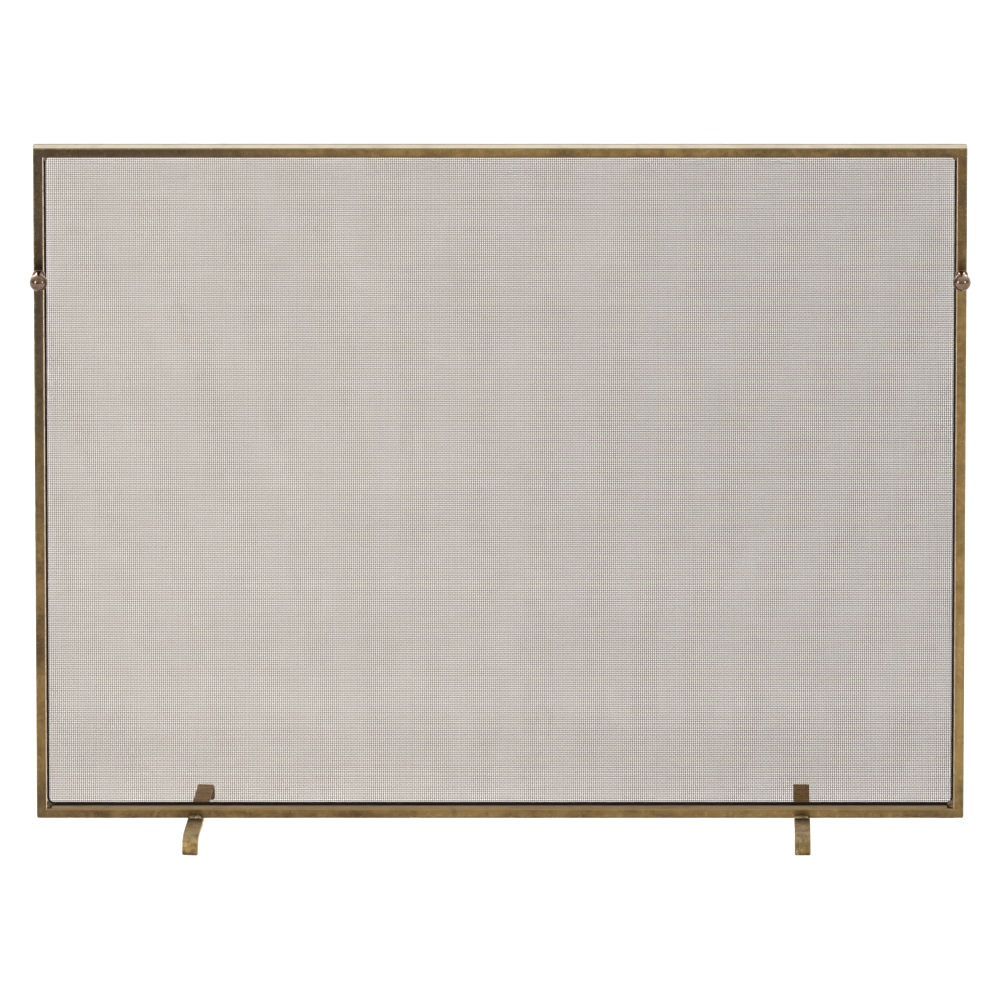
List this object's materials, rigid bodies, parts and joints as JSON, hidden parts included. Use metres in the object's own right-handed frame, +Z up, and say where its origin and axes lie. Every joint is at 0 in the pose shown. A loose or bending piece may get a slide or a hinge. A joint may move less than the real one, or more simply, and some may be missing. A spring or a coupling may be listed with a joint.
{
  "type": "fireplace screen",
  "caption": "Free-standing single-panel fireplace screen: square bar frame with fine woven wire cloth, ball knobs and bent flat-bar feet.",
  "frame": {"origin": "on the floor, midway between the tips of the feet and midway across the width", "axes": "+Z up, +X to the viewer's right when the screen is seen from the room, -Y towards the room, +Y towards the fire"},
  "size_m": [1.008, 0.1766, 0.786],
  "materials": {
    "frame_brass": "antique patina, satin, mottled",
    "foot_brass": "antique patina, rough, worn bright at the bends",
    "knob_brass": "polished antique brass",
    "wire": "bright drawn wire",
    "rod_black": "black, satin",
    "weld": "dull, lumpy, plated over",
    "screw_steel": "antique-plated steel"
  },
  "bodies": {
    "root": {"top_rail": "frame_brass", "bottom_rail": "frame_brass", "left_stile": "frame_brass", "right_stile": "frame_brass", "corner_welds": "weld", "mesh_cloth": "wire", "top_rod": "rod_black", "bottom_rod": "rod_black", "left_rod": "rod_black", "right_rod": "rod_black", "cloth_tacks": "weld", "left_foot": "foot_brass", "left_foot_welds": "weld", "left_knob": "knob_brass", "left_knob_collar": "knob_brass", "left_knob_screw": "screw_steel", "left_knob_washer": "screw_steel", "right_foot": "foot_brass", "right_foot_welds": "weld", "right_knob": "knob_brass", "right_knob_collar": "knob_brass", "right_knob_screw": "screw_steel", "right_knob_washer": "screw_steel"}
  },
  "joints": []
}
